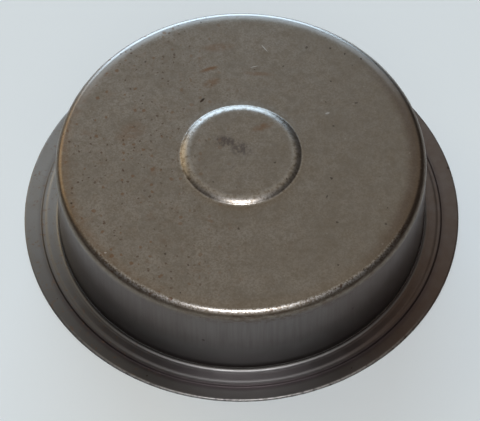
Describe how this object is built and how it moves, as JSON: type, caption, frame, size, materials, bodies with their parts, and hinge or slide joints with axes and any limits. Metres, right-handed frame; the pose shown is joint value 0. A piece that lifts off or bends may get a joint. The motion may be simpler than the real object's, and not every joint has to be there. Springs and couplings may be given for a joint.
{
  "type": "candle mold",
  "caption": "Round shallow pan pressed from one sheet of steel, with a flat stepped rim and a low boss in its base, for casting wax.",
  "frame": {"origin": "centre of the rim's underside, the plane that the mold rests on when it lies mouth down", "axes": "+Z is the pan's axis, from the open mouth to the closed base; the pan is turned about it, so X and Y are free"},
  "size_m": [0.123, 0.123, 0.0293],
  "materials": {
    "drawn_steel": "worn bare drawn sheet steel with a dull warm grey skin, brown rust flecks and bright rubbed edges"
  },
  "bodies": {
    "root": {"mold_shell": "drawn_steel"}
  },
  "joints": []
}
